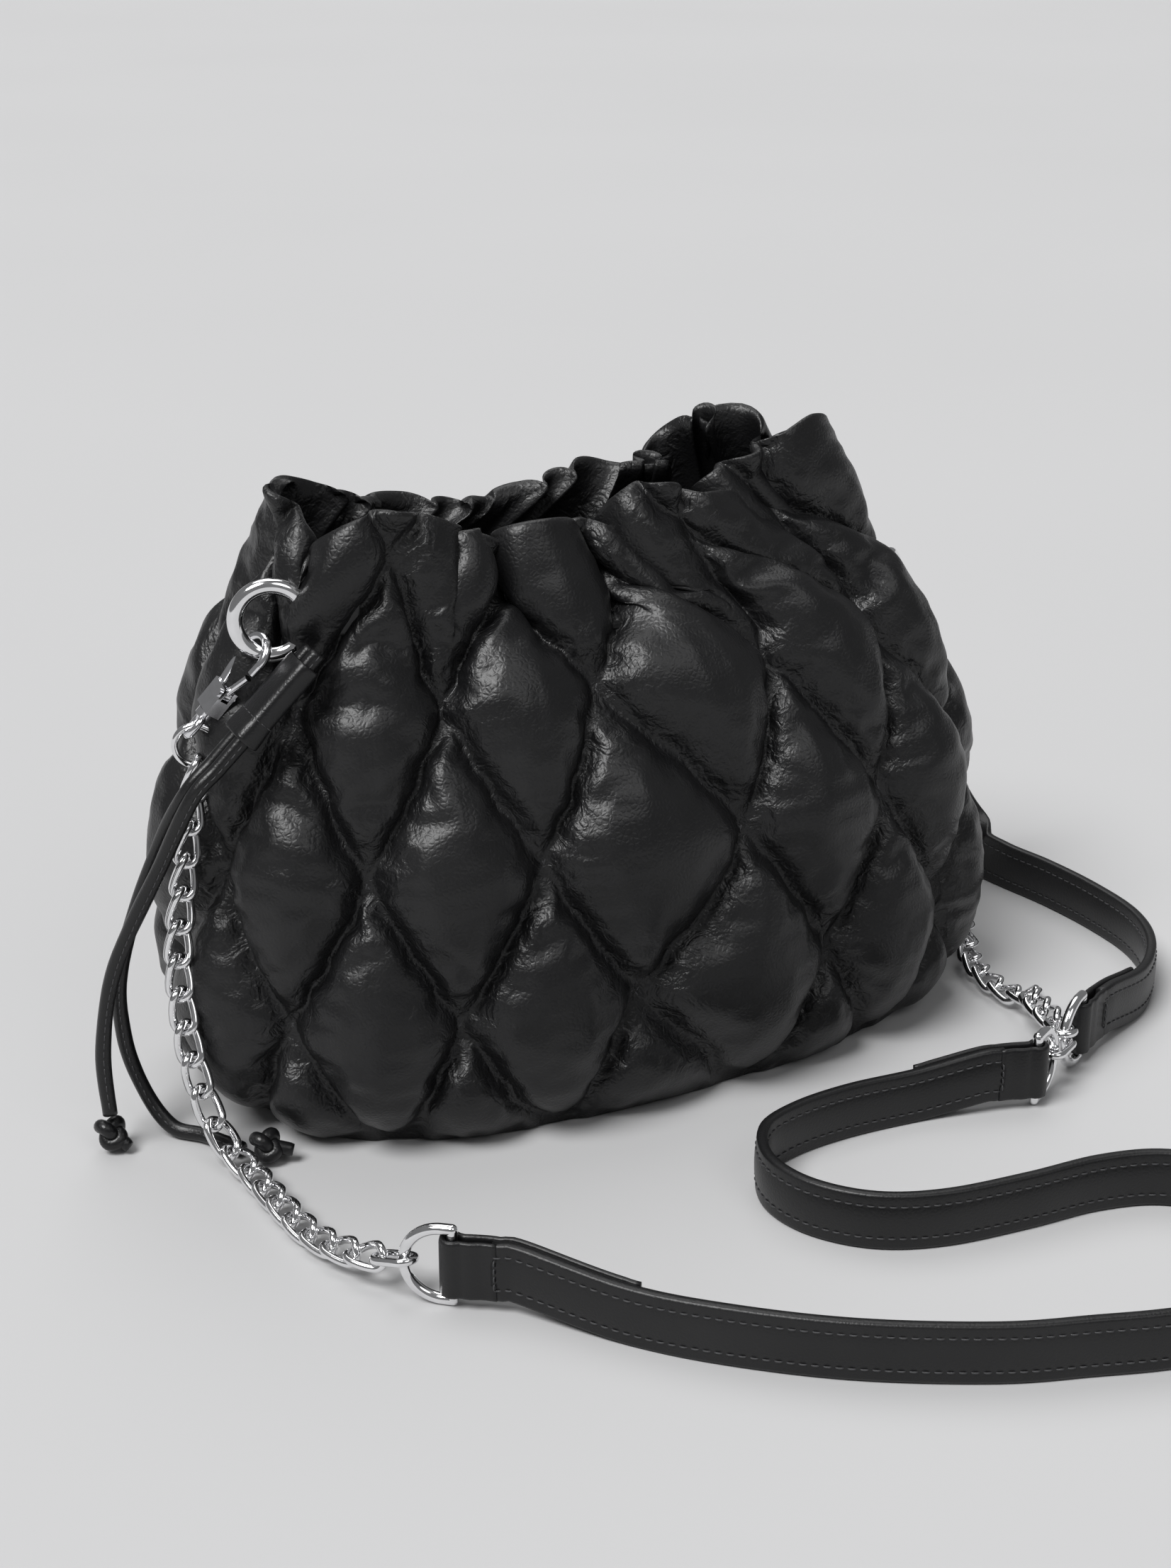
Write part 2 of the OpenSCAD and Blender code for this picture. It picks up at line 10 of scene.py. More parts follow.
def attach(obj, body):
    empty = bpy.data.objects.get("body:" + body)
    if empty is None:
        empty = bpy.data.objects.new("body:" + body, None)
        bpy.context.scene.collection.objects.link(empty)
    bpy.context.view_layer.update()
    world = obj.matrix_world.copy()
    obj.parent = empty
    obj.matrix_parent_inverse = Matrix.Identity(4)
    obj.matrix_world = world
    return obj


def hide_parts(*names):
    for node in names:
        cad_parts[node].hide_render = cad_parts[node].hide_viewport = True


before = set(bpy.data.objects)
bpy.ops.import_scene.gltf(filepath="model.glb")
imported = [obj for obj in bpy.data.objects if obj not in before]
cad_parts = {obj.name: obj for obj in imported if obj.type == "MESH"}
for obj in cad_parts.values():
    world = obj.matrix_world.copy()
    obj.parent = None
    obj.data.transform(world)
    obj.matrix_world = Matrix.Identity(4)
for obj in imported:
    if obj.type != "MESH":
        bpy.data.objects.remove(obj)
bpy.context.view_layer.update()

MM = 0.001

# ---------------------------------------- driving sizes, from the frame
CORD_D = 5 * MM


# ---------------------------------------- camera
CAMERA_AT = Vector((-373.5, -708.9, 410.4))
CAMERA_DOWN = 22
CAMERA_TURN = -28
SENSOR_H = 24
# Focal length as a share of the picture's height.
FOCAL_SHARE = 3480 / 2213


def add_camera():
    data = bpy.data.cameras.new("camera")
    camera = bpy.data.objects.new("camera", data)
    bpy.context.scene.collection.objects.link(camera)
    camera.location = CAMERA_AT * MM
    camera.rotation_euler = (math.radians(90 - CAMERA_DOWN), 0, math.radians(CAMERA_TURN))
    data.sensor_fit = "VERTICAL"
    data.sensor_height = SENSOR_H
    data.lens = SENSOR_H * FOCAL_SHARE
    data.clip_start = 0.01
    bpy.context.scene.camera = camera


add_camera()


# ---------------------------------------- material helpers
def new_material(name, color, rough, metallic=0.0):
    material = bpy.data.materials.new(name)
    material.use_nodes = True
    shader = material.node_tree.nodes["Principled BSDF"]
    shader.inputs["Base Color"].default_value = (*color, 1)
    shader.inputs["Roughness"].default_value = rough
    shader.inputs["Metallic"].default_value = metallic
    return material, material.node_tree, shader


def add_node(tree, kind, **values):
    node = tree.nodes.new(kind)
    for key, value in values.items():
        if key in node.inputs:
            node.inputs[key].default_value = value
        else:
            setattr(node, key, value)
    return node


def coordinates(tree, scale=1.0):
    where = add_node(tree, "ShaderNodeTexCoord")
    mapping = add_node(tree, "ShaderNodeMapping")
    mapping.inputs["Scale"].default_value = (scale, scale, scale)
    tree.links.new(where.outputs["Object"], mapping.inputs["Vector"])
    return mapping.outputs["Vector"]


def ramp_between(tree, source, low, high, at=(0.35, 0.65)):
    """A colour ramp from low to high over the given stretch of a factor."""
    ramp = add_node(tree, "ShaderNodeValToRGB")
    ramp.color_ramp.elements[0].position = at[0]
    ramp.color_ramp.elements[1].position = at[1]
    ramp.color_ramp.elements[0].color = (*low, 1)
    ramp.color_ramp.elements[1].color = (*high, 1)
    tree.links.new(source, ramp.inputs["Fac"])
    return ramp.outputs["Color"]


def map_value(tree, source, low, high):
    node = add_node(tree, "ShaderNodeMapRange")
    node.inputs["To Min"].default_value = low
    node.inputs["To Max"].default_value = high
    tree.links.new(source, node.inputs["Value"])
    return node.outputs["Result"]


def leather(name, dark, light, rough=(0.36, 0.5), grain=0.9, depth=0.12, wrinkle=0.0):
    """Nappa: fine pebbles, creases that grow toward the seams, and slight variation of colour and gloss."""
    material, tree, shader = new_material(name, dark, rough[0])
    at = coordinates(tree, 1000)
    tone = add_node(tree, "ShaderNodeTexNoise", Scale=0.03, Detail=4.0)
    tree.links.new(at, tone.inputs["Vector"])
    color = ramp_between(tree, tone.outputs["Fac"], dark, light, (0.3, 0.7))
    tree.links.new(color, shader.inputs["Base Color"])
    tree.links.new(map_value(tree, tone.outputs["Fac"], rough[0], rough[1]), shader.inputs["Roughness"])
    warp = add_node(tree, "ShaderNodeTexNoise", Scale=0.9, Detail=2.0)
    tree.links.new(at, warp.inputs["Vector"])
    mixed = add_node(tree, "ShaderNodeMixRGB")
    mixed.inputs["Fac"].default_value = 0.35
    tree.links.new(at, mixed.inputs["Color1"])
    tree.links.new(warp.outputs["Color"], mixed.inputs["Color2"])
    pebble = add_node(tree, "ShaderNodeTexVoronoi", feature="DISTANCE_TO_EDGE", Scale=grain)
    tree.links.new(mixed.outputs["Color"], pebble.inputs["Vector"])
    rounded = add_node(tree, "ShaderNodeMapRange")
    rounded.inputs["From Max"].default_value = 0.35
    rounded.interpolation_type = "SMOOTHSTEP"
    tree.links.new(pebble.outputs["Distance"], rounded.inputs["Value"])
    fine = add_node(tree, "ShaderNodeTexNoise", Scale=3.5, Detail=5.0)
    tree.links.new(at, fine.inputs["Vector"])
    bump = add_node(tree, "ShaderNodeBump", Strength=0.55, Distance=depth * MM)
    tree.links.new(rounded.outputs["Result"], bump.inputs["Height"])
    second = add_node(tree, "ShaderNodeBump", Strength=0.35, Distance=0.05 * MM)
    tree.links.new(fine.outputs["Fac"], second.inputs["Height"])
    tree.links.new(bump.outputs["Normal"], second.inputs["Normal"])
    last = second
    if wrinkle:
        crease = add_node(tree, "ShaderNodeTexNoise", Scale=0.16, Detail=3.0, Distortion=1.2)
        tree.links.new(at, crease.inputs["Vector"])
        ruched = add_node(tree, "ShaderNodeAttribute", attribute_name="near_seam")
        height = add_node(tree, "ShaderNodeMath", operation="MULTIPLY")
        tree.links.new(crease.outputs["Fac"], height.inputs[0])
        tree.links.new(map_value(tree, ruched.outputs["Fac"], 0.03, 1.0), height.inputs[1])
        third = add_node(tree, "ShaderNodeBump", Strength=0.8, Distance=wrinkle * MM)
        tree.links.new(height.outputs[0], third.inputs["Height"])
        tree.links.new(second.outputs["Normal"], third.inputs["Normal"])
        last = third
    tree.links.new(last.outputs["Normal"], shader.inputs["Normal"])
    shader.inputs["Specular IOR Level"].default_value = 0.42
    return material


def chrome(name, color=(0.86, 0.86, 0.87), rough=(0.05, 0.14)):
    """Polished plating with faint wipe marks and a little dulling."""
    material, tree, shader = new_material(name, color, rough[0], 1.0)
    at = coordinates(tree, 1000)
    wear = add_node(tree, "ShaderNodeTexNoise", Scale=0.25, Detail=6.0)
    tree.links.new(at, wear.inputs["Vector"])
    tree.links.new(map_value(tree, wear.outputs["Fac"], rough[0], rough[1]), shader.inputs["Roughness"])
    tint = ramp_between(tree, wear.outputs["Fac"], tuple(0.93 * c for c in color), color, (0.3, 0.6))
    tree.links.new(tint, shader.inputs["Base Color"])
    bump = add_node(tree, "ShaderNodeBump", Strength=0.12, Distance=0.05 * MM)
    tree.links.new(wear.outputs["Fac"], bump.inputs["Height"])
    tree.links.new(bump.outputs["Normal"], shader.inputs["Normal"])
    return material


def thread(name, color):
    """Waxed thread: fine ply lines across each stitch."""
    material, tree, shader = new_material(name, color, 0.42)
    at = coordinates(tree, 1000)
    ply = add_node(tree, "ShaderNodeTexWave", Scale=1.6, Distortion=1.0)
    tree.links.new(at, ply.inputs["Vector"])
    bump = add_node(tree, "ShaderNodeBump", Strength=0.6, Distance=0.05 * MM)
    tree.links.new(ply.outputs["Fac"], bump.inputs["Height"])
    tree.links.new(bump.outputs["Normal"], shader.inputs["Normal"])
    tone = ramp_between(tree, ply.outputs["Fac"], tuple(0.7 * c for c in color), color, (0.2, 0.8))
    tree.links.new(tone, shader.inputs["Base Color"])
    return material


def woven(name, color):
    """Plain cloth with a fine weave."""
    material, tree, shader = new_material(name, color, 0.85)
    at = coordinates(tree, 1000)
    weave = add_node(tree, "ShaderNodeTexBrick", Scale=1.2)
    tree.links.new(at, weave.inputs["Vector"])
    bump = add_node(tree, "ShaderNodeBump", Strength=0.4, Distance=0.1 * MM)
    tree.links.new(weave.outputs["Fac"], bump.inputs["Height"])
    tree.links.new(bump.outputs["Normal"], shader.inputs["Normal"])
    tone = add_node(tree, "ShaderNodeTexNoise", Scale=0.2)
    tree.links.new(at, tone.inputs["Vector"])
    tree.links.new(ramp_between(tree, tone.outputs["Fac"], tuple(0.8 * c for c in color), color),
                   shader.inputs["Base Color"])
    return material


def plain_floor(name, color):
    material, tree, shader = new_material(name, color, 0.75)
    at = coordinates(tree, 1)
    tone = add_node(tree, "ShaderNodeTexNoise", Scale=1.5, Detail=2.0)
    tree.links.new(at, tone.inputs["Vector"])
    tree.links.new(ramp_between(tree, tone.outputs["Fac"], tuple(0.985 * c for c in color), color),
                   shader.inputs["Base Color"])
    return material


BLACK = (0.005, 0.005, 0.0055)
WORN_BLACK = (0.009, 0.009, 0.0095)
SHELL = leather("shell_leather", BLACK, WORN_BLACK, rough=(0.33, 0.42), depth=0.1, wrinkle=1.8)
FACING = leather("facing_leather", (0.006, 0.006, 0.0065), (0.01, 0.01, 0.0105), rough=(0.3, 0.4), depth=0.05)
STRAP = leather("strap_leather", BLACK, WORN_BLACK, rough=(0.34, 0.44), grain=1.1, depth=0.05)
CORD = leather("cord_leather", BLACK, (0.008, 0.008, 0.0085), rough=(0.26, 0.4), grain=1.2, depth=0.05)
THREAD = thread("thread", (0.045, 0.045, 0.048))
LINING = woven("lining", (0.02, 0.018, 0.018))
PADDING = woven("padding", (0.6, 0.6, 0.58))
BOARD = woven("board", (0.2, 0.15, 0.1))
CHROME = chrome("chrome")
HOOK_METAL = chrome("hook_metal", (0.83, 0.83, 0.85), (0.08, 0.18))

CAD_MATERIALS = {
    "base_panel": SHELL,
    "base_board": BOARD,
    "wadding": PADDING,
    "lining_wall": LINING,
    "lining_floor": LINING,
    "casing_cord": CORD,
}


def dress_cad_nodes():
    """Give every CAD node that stays in view its material."""
    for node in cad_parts:
        obj = bpy.data.objects.get(node)
        if obj is None or obj.type != "MESH":
            continue
        material = CAD_MATERIALS.get(node, HOOK_METAL if "hook" in node else CHROME)
        obj.data.materials.clear()
        obj.data.materials.append(material)
        obj.data.shade_smooth()


dress_cad_nodes()


# ---------------------------------------- mesh helpers
def add_mesh(name, verts, faces, material, body, smooth=True):
    mesh = bpy.data.meshes.new(name)
    mesh.from_pydata([tuple(v) for v in verts], [], faces)
    mesh.update()
    obj = bpy.data.objects.new(name, mesh)
    bpy.context.scene.collection.objects.link(obj)
    mesh.materials.append(material)
    if smooth:
        mesh.shade_smooth()
    if body:
        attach(obj, body)
    return obj


def apply_modifiers(obj):
    depsgraph = bpy.context.evaluated_depsgraph_get()
    baked = bpy.data.meshes.new_from_object(obj.evaluated_get(depsgraph))
    old = obj.data
    obj.modifiers.clear()
    obj.data = baked
    bpy.data.meshes.remove(old)


def smoothstep(x):
    x = np.clip(x, 0, 1)
    return x * x * (3 - 2 * x)


# ---------------------------------------- swept pieces: straps, cords, folds, stitches
def catmull(points, k):
    """Smooth a row of points with k steps to a span."""
    p = np.array(points, float)
    p = np.vstack([p[:1], p, p[-1:]])
    out = []
    for i in range(1, len(p) - 2):
        a, b, c, d = p[i - 1], p[i], p[i + 1], p[i + 2]
        for t in np.arange(k) / k:
            out.append(0.5 * (2 * b + (c - a) * t + (2 * a - 5 * b + 4 * c - d) * t * t
                              + (3 * b - a - 3 * c + d) * t ** 3))
    return np.vstack([out, p[-1:]])


def unit_rows(v):
    return v / np.maximum(np.linalg.norm(v, axis=-1, keepdims=True), 1e-9)


def run_of(path):
    return np.concatenate([[0], np.cumsum(np.linalg.norm(np.diff(path, axis=0), axis=1))])


def even(path, step, *others):
    """Resample a path, and rows that go with it, at an even step."""
    run = run_of(path)
    at = np.linspace(0, run[-1], max(2, int(round(run[-1] / step)) + 1))
    return [np.stack([np.interp(at, run, rows[:, k]) for k in range(3)], -1) for rows in (path, *others)]


def headings(path):
    return unit_rows(np.gradient(path, axis=0))


def frame_for(path, wide):
    """Width and face directions square to the path."""
    ahead = headings(path)
    wide = unit_rows(wide - ahead * (wide * ahead).sum(-1, keepdims=True))
    return wide, np.cross(ahead, wide)


def carried_frame(path):
    """Two directions square to the path that turn with it and never twist."""
    ahead = headings(path)
    side = np.cross(ahead[0], [0.3, 1, 0.2])
    sides = []
    for t in ahead:
        side = side - t * side.dot(t)
        side = side / np.linalg.norm(side)
        sides.append(side)
    sides = np.array(sides)
    return sides, np.cross(ahead, sides)


def ring_faces(n, m, closed=False):
    """Quads between n rings of m points each; closed also joins the last ring to the first."""
    faces = []
    for i in range(n if closed else n - 1):
        above = (i + 1) % n
        for j in range(m):
            after = (j + 1) % m
            faces.append((i * m + j, above * m + j, above * m + after, i * m + after))
    return faces


class Pile:
    """Collects vertices, faces and material numbers of one mesh, in millimetres."""

    def __init__(self):
        self.verts, self.faces, self.slots = [], [], []

    def add(self, verts, faces, slot=0):
        start = len(self.verts)
        self.verts.extend(np.asarray(verts).reshape(-1, 3))
        self.faces.extend(tuple(start + k for k in face) for face in faces)
        self.slots.extend([slot] * len(faces))

    def sweep(self, path, wide, face, profile, slot=0, closed=False, scale=None):
        """Carry a closed profile of (across, out) pairs along the path."""
        profile = np.asarray(profile, float)
        scale = np.ones(len(path)) if scale is None else np.asarray(scale)
        rings = (path[:, None] + scale[:, None, None] * (
            wide[:, None] * profile[None, :, :1] + face[:, None] * profile[None, :, 1:]))
        n, m = rings.shape[:2]
        faces = ring_faces(n, m, closed)
        if not closed:
            faces.append(tuple(range(m)))
            faces.append(tuple((n - 1) * m + j for j in range(m - 1, -1, -1)))
        self.add(rings, faces, slot)

    def stitches(self, path, up, pitch, length, thread, slot=1):
        """A row of short raised threads along a line, each arched out of its two holes."""
        run = run_of(path)
        ahead = headings(path)
        sides = 6
        turns = 2 * np.pi * np.arange(sides) / sides
        for at in np.arange(pitch / 2, run[-1] - pitch / 2, pitch):
            centre, way, out = (np.array([np.interp(at, run, rows[:, k]) for k in range(3)])
                                for rows in (path, ahead, up))
            across = np.cross(way, out)
            rings = []
            for share in (-0.5, -0.36, -0.15, 0.15, 0.36, 0.5):
                arch = 1 - (2 * share) ** 4
                middle = centre + way * share * length + out * thread * (arch - 0.55)
                radius = thread / 2 * (0.55 + 0.45 * arch)
                rings.append([middle + radius * (np.cos(a) * across + np.sin(a) * out) for a in turns])
            self.add(rings, ring_faces(len(rings), sides), slot)

    def build(self, name, body, *materials):
        obj = add_mesh(name, np.array(self.verts) * MM, self.faces, materials[0], body)
        for material in materials[1:]:
            obj.data.materials.append(material)
        obj.data.polygons.foreach_set("material_index", self.slots)
        build = bmesh.new()
        build.from_mesh(obj.data)
        bmesh.ops.recalc_face_normals(build, faces=build.faces)
        build.to_mesh(obj.data)
        build.free()
        return obj


def round_profile(radius, sides=16, groove=0.0):
    """A circle with a shallow seam groove at its top."""
    turns = 2 * np.pi * np.arange(sides) / sides
    away = np.abs((turns - np.pi / 2 + np.pi) % (2 * np.pi) - np.pi)
    r = radius - groove * np.exp(-(away / 0.35) ** 2)
    return np.stack([r * np.cos(turns), r * np.sin(turns)], -1)


def strap_profile(width, thick, stitch_in=4.0, pad=0.25, dent=0.35):
    """A padded strap: soft middle, a dented stitch line on each side, and rounded painted edges."""
    half, out = width / 2, thick / 2
    line = half - stitch_in
    side = [
        (-half, out * 0.4), (-half + 0.35, out * 0.78), (-half + 1.1, out * 0.88), (-line - 0.7, out * 0.86),
        (-line, out - dent), (-line + 0.7, out * 0.9), (-line + 2.2, out + pad * 0.7), (0, out + pad)]
    top = side + [(-x, y) for x, y in reversed(side[:-1])]
    return [(x, y) for x, y in top] + [(-x, -y) for x, y in top]


def plain_profile(width, thick):
    """A thin strip with rounded edges."""
    half, out = width / 2, thick / 2
    top = [(-half, out * 0.45), (-half + 0.4, out * 0.9), (-half + 1.2, out), (0, out * 1.04),
           (half - 1.2, out), (half - 0.4, out * 0.9), (half, out * 0.45)]
    return [(x, y) for x, y in top] + [(-x, -y) for x, y in top]


# ---------------------------------------- cords and straps, along the same routes as the CAD
STRAP_MM = 19
STRAP_THICK = 4
STITCH_IN = 4.0
# Pitch, length and thread of each kind of stitching.
STRAP_STITCH = (3.4, 2.7, 0.62)
CROSS_STITCH = (2.6, 2.1, 0.62)
TAB_STITCH = (2.2, 1.8, 0.5)
CORD_STITCH = (3.0, 2.3, 0.5)
SLIDER_STITCH = (2.6, 2.0, 0.45)
QUILT_STITCH = (4.6, 3.3, 0.8)
CORD_R = CORD_D / MM / 2

UP = (0, 0, 1)
DEE_Z = 13.5
EDGE_Z = 9.8
LOOP_TAIL = 12.1
LEADS = (0, 3, 8)
LEFT_BAR, LEFT_TURN = np.array([-121, -152, DEE_Z]), math.radians(-42)
JOIN_BAR, JOIN_TURN = np.array([101.3, -136.5, DEE_Z]), math.radians(168)
SHORT_TURN = math.radians(20)
JOIN_LINE = math.radians(28.8)
JOIN_REACH = 37.2
SHORT_BAR = JOIN_BAR + JOIN_REACH * np.array([math.cos(JOIN_LINE), math.sin(JOIN_LINE), 0])


def level(turn):
    return np.array([math.cos(turn), math.sin(turn), 0])


def leads(bar, turn):
    return [(bar + (LOOP_TAIL + lead) * level(turn), UP) for lead in LEADS]


def on_edge(*places):
    return [((x, y, EDGE_Z), UP) for x, y in places]


RIGHT_RING_AT, RIGHT_RING_TURN = np.array([144, 22.5, 133]), math.radians(42)
LEFT_RING_AT, LEFT_RING_TURN = np.array([-121, -29, 174]), math.radians(-20)
RING_R = 11
TAB_W = 11
TAB_SAG = RING_R - math.sqrt(RING_R ** 2 - TAB_W ** 2 / 4)
DROP = math.radians(35)
RING_LOOP_OUT = level(RIGHT_RING_TURN) * math.cos(DROP) - np.array(UP) * math.sin(DROP)
RING_LOOP_WIDE = level(RIGHT_RING_TURN) * math.sin(DROP) + np.array(UP) * math.cos(DROP)
RING_LOOP_END = RIGHT_RING_AT + (RING_R - TAB_SAG / 2 + 9.1) * RING_LOOP_OUT

long_bends = on_edge(
    (-86, -192), (-66, -214), (-38, -237), (-4, -257), (22, -267), (42, -274), (64, -279), (88, -276),
    (106, -262), (114, -242), (112, -222), (98, -206), (78, -199), (52, -197), (24, -193), (4, -184),
    (-9, -168), (-12, -150), (-4, -134), (12, -127), (34, -125), (60, -127))
long_route = leads(LEFT_BAR, LEFT_TURN) + long_bends + leads(JOIN_BAR, JOIN_TURN)[::-1]
short_route = leads(SHORT_BAR, SHORT_TURN) + on_edge(
    (176, -101), (194, -84), (204, -62), (206, -36), (204, -10), (200, 12)) + [
    ((198, 28, 12), (0.1, 0.2, 1)), ((196, 38, 28), (0.4, 0.5, 0.7)), ((190, 39, 52), (0.6, 0.8, 0.1)),
    ((178, 38, 80), (0.6, 0.8, 0.1)), ((165, 37, 104), (0.55, 0.65, 0.5))] + [
    (RING_LOOP_END + lead * RING_LOOP_OUT, RING_LOOP_WIDE) for lead in reversed(LEADS)]


def ribbon_path(route, step):
    path = catmull([place for place, wide in route], 8)
    wide = catmull([wide for place, wide in route], 8)
    path, wide = even(path, step, wide)
    wide, face = frame_for(path, wide)
    return path, wide, face


def add_strap(name, route, body):
    """A padded leather strap with stitching near both edges, on both faces."""
    pile = Pile()
    path, wide, face = ribbon_path(route, 2.5)
    run = run_of(path)
    pile.sweep(path, wide, face, strap_profile(STRAP_MM, STRAP_THICK))
    for edge in (-1, 1):
        for side in (-1, 1):
            line = path + wide * edge * (STRAP_MM / 2 - STITCH_IN) + face * side * 1.62
            pile.stitches(line, face * side, *STRAP_STITCH)
    obj = pile.build(name, body, STRAP, THREAD)
    return obj, path, run[-1]


def fold_bend(radius, first, last):
    """Points round a bar, from one angle to another in degrees."""
    turns = [math.radians(degrees) for degrees in range(first, last, 20)]
    return [(radius * math.cos(turn), radius * math.sin(turn)) for turn in turns]


def add_fold(name, bar, turn, strap_path, strap_face, from_start, side, doubled):
    """The strap's end, folded round a ring's bar and doubled back on the strap for doubled millimetres."""
    away = level(turn)
    out = np.array([-math.sin(turn), math.cos(turn), 0])
    local = [(LOOP_TAIL + 1.5, 1.0), (9, 1.15), (5.5, 2.1)]
    local += fold_bend(3.0, 40, 321)
    local += [(5.5, -2.4), (9, -2.9), (LOOP_TAIL, -3.1)]
    points = [bar + u * away + v * side * out for u, v in local]
    order = range(len(strap_path)) if from_start else range(len(strap_path) - 1, -1, -1)
    run = run_of(strap_path)
    back = 1 if np.dot(strap_face[order[0]], -side * out) > 0 else -1
    for k in order:
        gone = run[k] if from_start else run[-1] - run[k]
        if 2 < gone < doubled:
            points.append(strap_path[k] + strap_face[k] * back * (3.1 if gone < doubled - 4 else 2.9))
    path, = even(catmull(points, 3), 1.6)
    wide, face = frame_for(path, np.tile(np.array(UP, float), (len(path), 1)))
    pile = Pile()
    pile.sweep(path, wide, face, plain_profile(STRAP_MM, 1.9))
    centre = bar + (LOOP_TAIL + 1.0) * away
    for lift in (2.25, -4.2):
        heights = np.linspace(-5.5, 5.5, 9)
        line = np.array([centre + side * lift * out + np.array([0, 0, h]) for h in heights])
        up = np.tile(side * np.sign(lift) * out, (len(line), 1))
        pile.stitches(line, up, *CROSS_STITCH)
    return pile.build(name, "bag", STRAP, THREAD)


def add_ring_tab(name, at, out, wide, reach):
    """A thin strip folded round a ring's wire; out points away from the wire, toward what holds the tab."""
    out, wide = np.array(out, float), np.array(wide, float)
    face = np.cross(wide, out)
    local = [(reach, 1.0), (6.5, 1.1), (4.6, 2.2)]
    local += fold_bend(3.75, 35, 326)
    local += [(4.6, -2.2), (6.5, -1.1), (reach, -1.0)]
    path, = even(catmull([at + u * out + v * face for u, v in local], 3), 1.0)
    across, normal = frame_for(path, np.tile(wide, (len(path), 1)))
    pile = Pile()
    pile.sweep(path, across, normal, plain_profile(TAB_W, 1.5))
    for side in (-1, 1):
        start = at + 6.8 * out + side * 1.85 * face
        line = np.array([start + wide * h for h in np.linspace(-3.6, 3.6, 7)])
        pile.stitches(line, np.tile(side * face, (len(line), 1)), *TAB_STITCH)
    return pile.build(name, "bag", FACING, THREAD)


def add_tail(name, route):
    """A rolled leather drawcord with its stitched seam."""
    path, = even(catmull(route, 8), 1.5)
    side, out = carried_frame(path)
    pile = Pile()
    rng = np.random.default_rng(5)
    waves = 1 + 0.03 * np.sin(np.cumsum(rng.uniform(0.1, 0.5, len(path))))
    pile.sweep(path, side, out, round_profile(CORD_R, 16, 0.35), scale=waves)
    pile.stitches(path + out * 2.2, out, *CORD_STITCH)
    return pile.build(name, "bag", CORD, THREAD), path, run_of(path)[-1]


def add_knot(name, at, stub):
    """An overhand knot in the end of a drawcord, with the cut end sticking out."""
    turns = np.linspace(0, 2 * np.pi, 72, endpoint=False)
    r = KNOT_D / 2 - CORD_R
    path = np.stack([np.sin(turns) + 2 * np.sin(2 * turns), np.cos(turns) - 2 * np.cos(2 * turns),
                     -1.25 * np.sin(3 * turns)], -1) * r / 3
    tilt = np.array(Matrix.Rotation(0.7, 3, "X") @ Matrix.Rotation(0.5, 3, "Y"))
    path = path @ tilt.T + np.array(at)
    ahead = unit_rows(np.roll(path, -1, 0) - np.roll(path, 1, 0))
    side = unit_rows(np.cross(ahead, path - np.array(at) + 1e-3))
    pile = Pile()
    pile.sweep(path, side, np.cross(ahead, side), round_profile(CORD_R * 0.94, 14), closed=True)
    stub = np.array(stub, float)
    end = np.array([at + stub * share for share in np.linspace(0.3, 1, 7)])
    side, out = carried_frame(end)
    pile.sweep(end, side, out, round_profile(CORD_R * 0.9, 12), scale=[1, 1, 1, 1, 1, 0.97, 0.85])
    return pile.build(name, "bag", CORD)


SLIDER_TOP = np.array([-116, -42.5, 163.5])
SLIDER_END = np.array([-137, -40.5, 142.5])
SLIDER_WAY = (SLIDER_END - SLIDER_TOP) / np.linalg.norm(SLIDER_END - SLIDER_TOP)
CORD_SIDE = np.array([0, 1, 0]) * (CORD_R + 0.15)
KNOT_D = 13
KNOT_ONE = np.array([-181, -20, 6.5])
KNOT_TWO = np.array([-139.5, -51, 6.5])
# Share of the length, half width and half thickness: down the outside, round the hem and up the inside.
SLIDER_SHAPE = [
    (0, 6.9, 4.1), (0.08, 7.0, 4.3), (0.5, 6.8, 4.1), (0.78, 6.9, 4.2), (0.84, 7.3, 4.6), (0.95, 7.5, 4.8),
    (1.0, 7.6, 4.9), (1.01, 7.2, 4.5), (1.0, 6.4, 3.6), (0.9, 5.9, 3.2), (0.5, 5.8, 3.1), (0.02, 5.8, 3.1),
    (-0.01, 6.3, 3.6)]
SLIDER_SEAM = (0.74, 6.95, 4.2)


def softened(c):
    """A cosine or sine, squared up for a rounded box."""
    return np.sign(c) * np.abs(c) ** 0.6


def add_slider():
    """The leather sleeve that holds both cords together, with a turned, stitched lower edge."""
    way = SLIDER_WAY
    wide = np.array([0, 1, 0]) - way * way[1]
    wide /= np.linalg.norm(wide)
    out = np.cross(way, wide)
    length = np.linalg.norm(SLIDER_END - SLIDER_TOP)
    turns = 2 * np.pi * np.arange(32) / 32
    outline = np.stack([softened(np.cos(turns)), softened(np.sin(turns))], -1)

    def ring(share, across, thick, shape):
        centre = SLIDER_TOP + way * share * length
        return np.array([centre + wide * across * a + out * thick * b for a, b in shape])

    pile = Pile()
    rings = [ring(*mark, outline) for mark in SLIDER_SHAPE]
    pile.add(rings, ring_faces(len(rings), len(outline), closed=True))
    line = ring(*SLIDER_SEAM, np.vstack([outline, outline[:1]]))
    normal = unit_rows(line - (SLIDER_TOP + way * SLIDER_SEAM[0] * length))
    pile.stitches(line, normal, *SLIDER_STITCH)
    obj = pile.build("drawcord_slider", "slider", CORD, THREAD)
    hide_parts("cord_slider")
    smooth = obj.modifiers.new("round", "SUBSURF")
    smooth.levels = 1
    smooth.render_levels = 1
    apply_modifiers(obj)
    return obj


def tail_start(side):
    return [SLIDER_TOP - SLIDER_WAY * 5 + side, SLIDER_TOP + side, SLIDER_END + side,
            SLIDER_END + 12 * SLIDER_WAY + side, SLIDER_END + 24 * SLIDER_WAY + side]


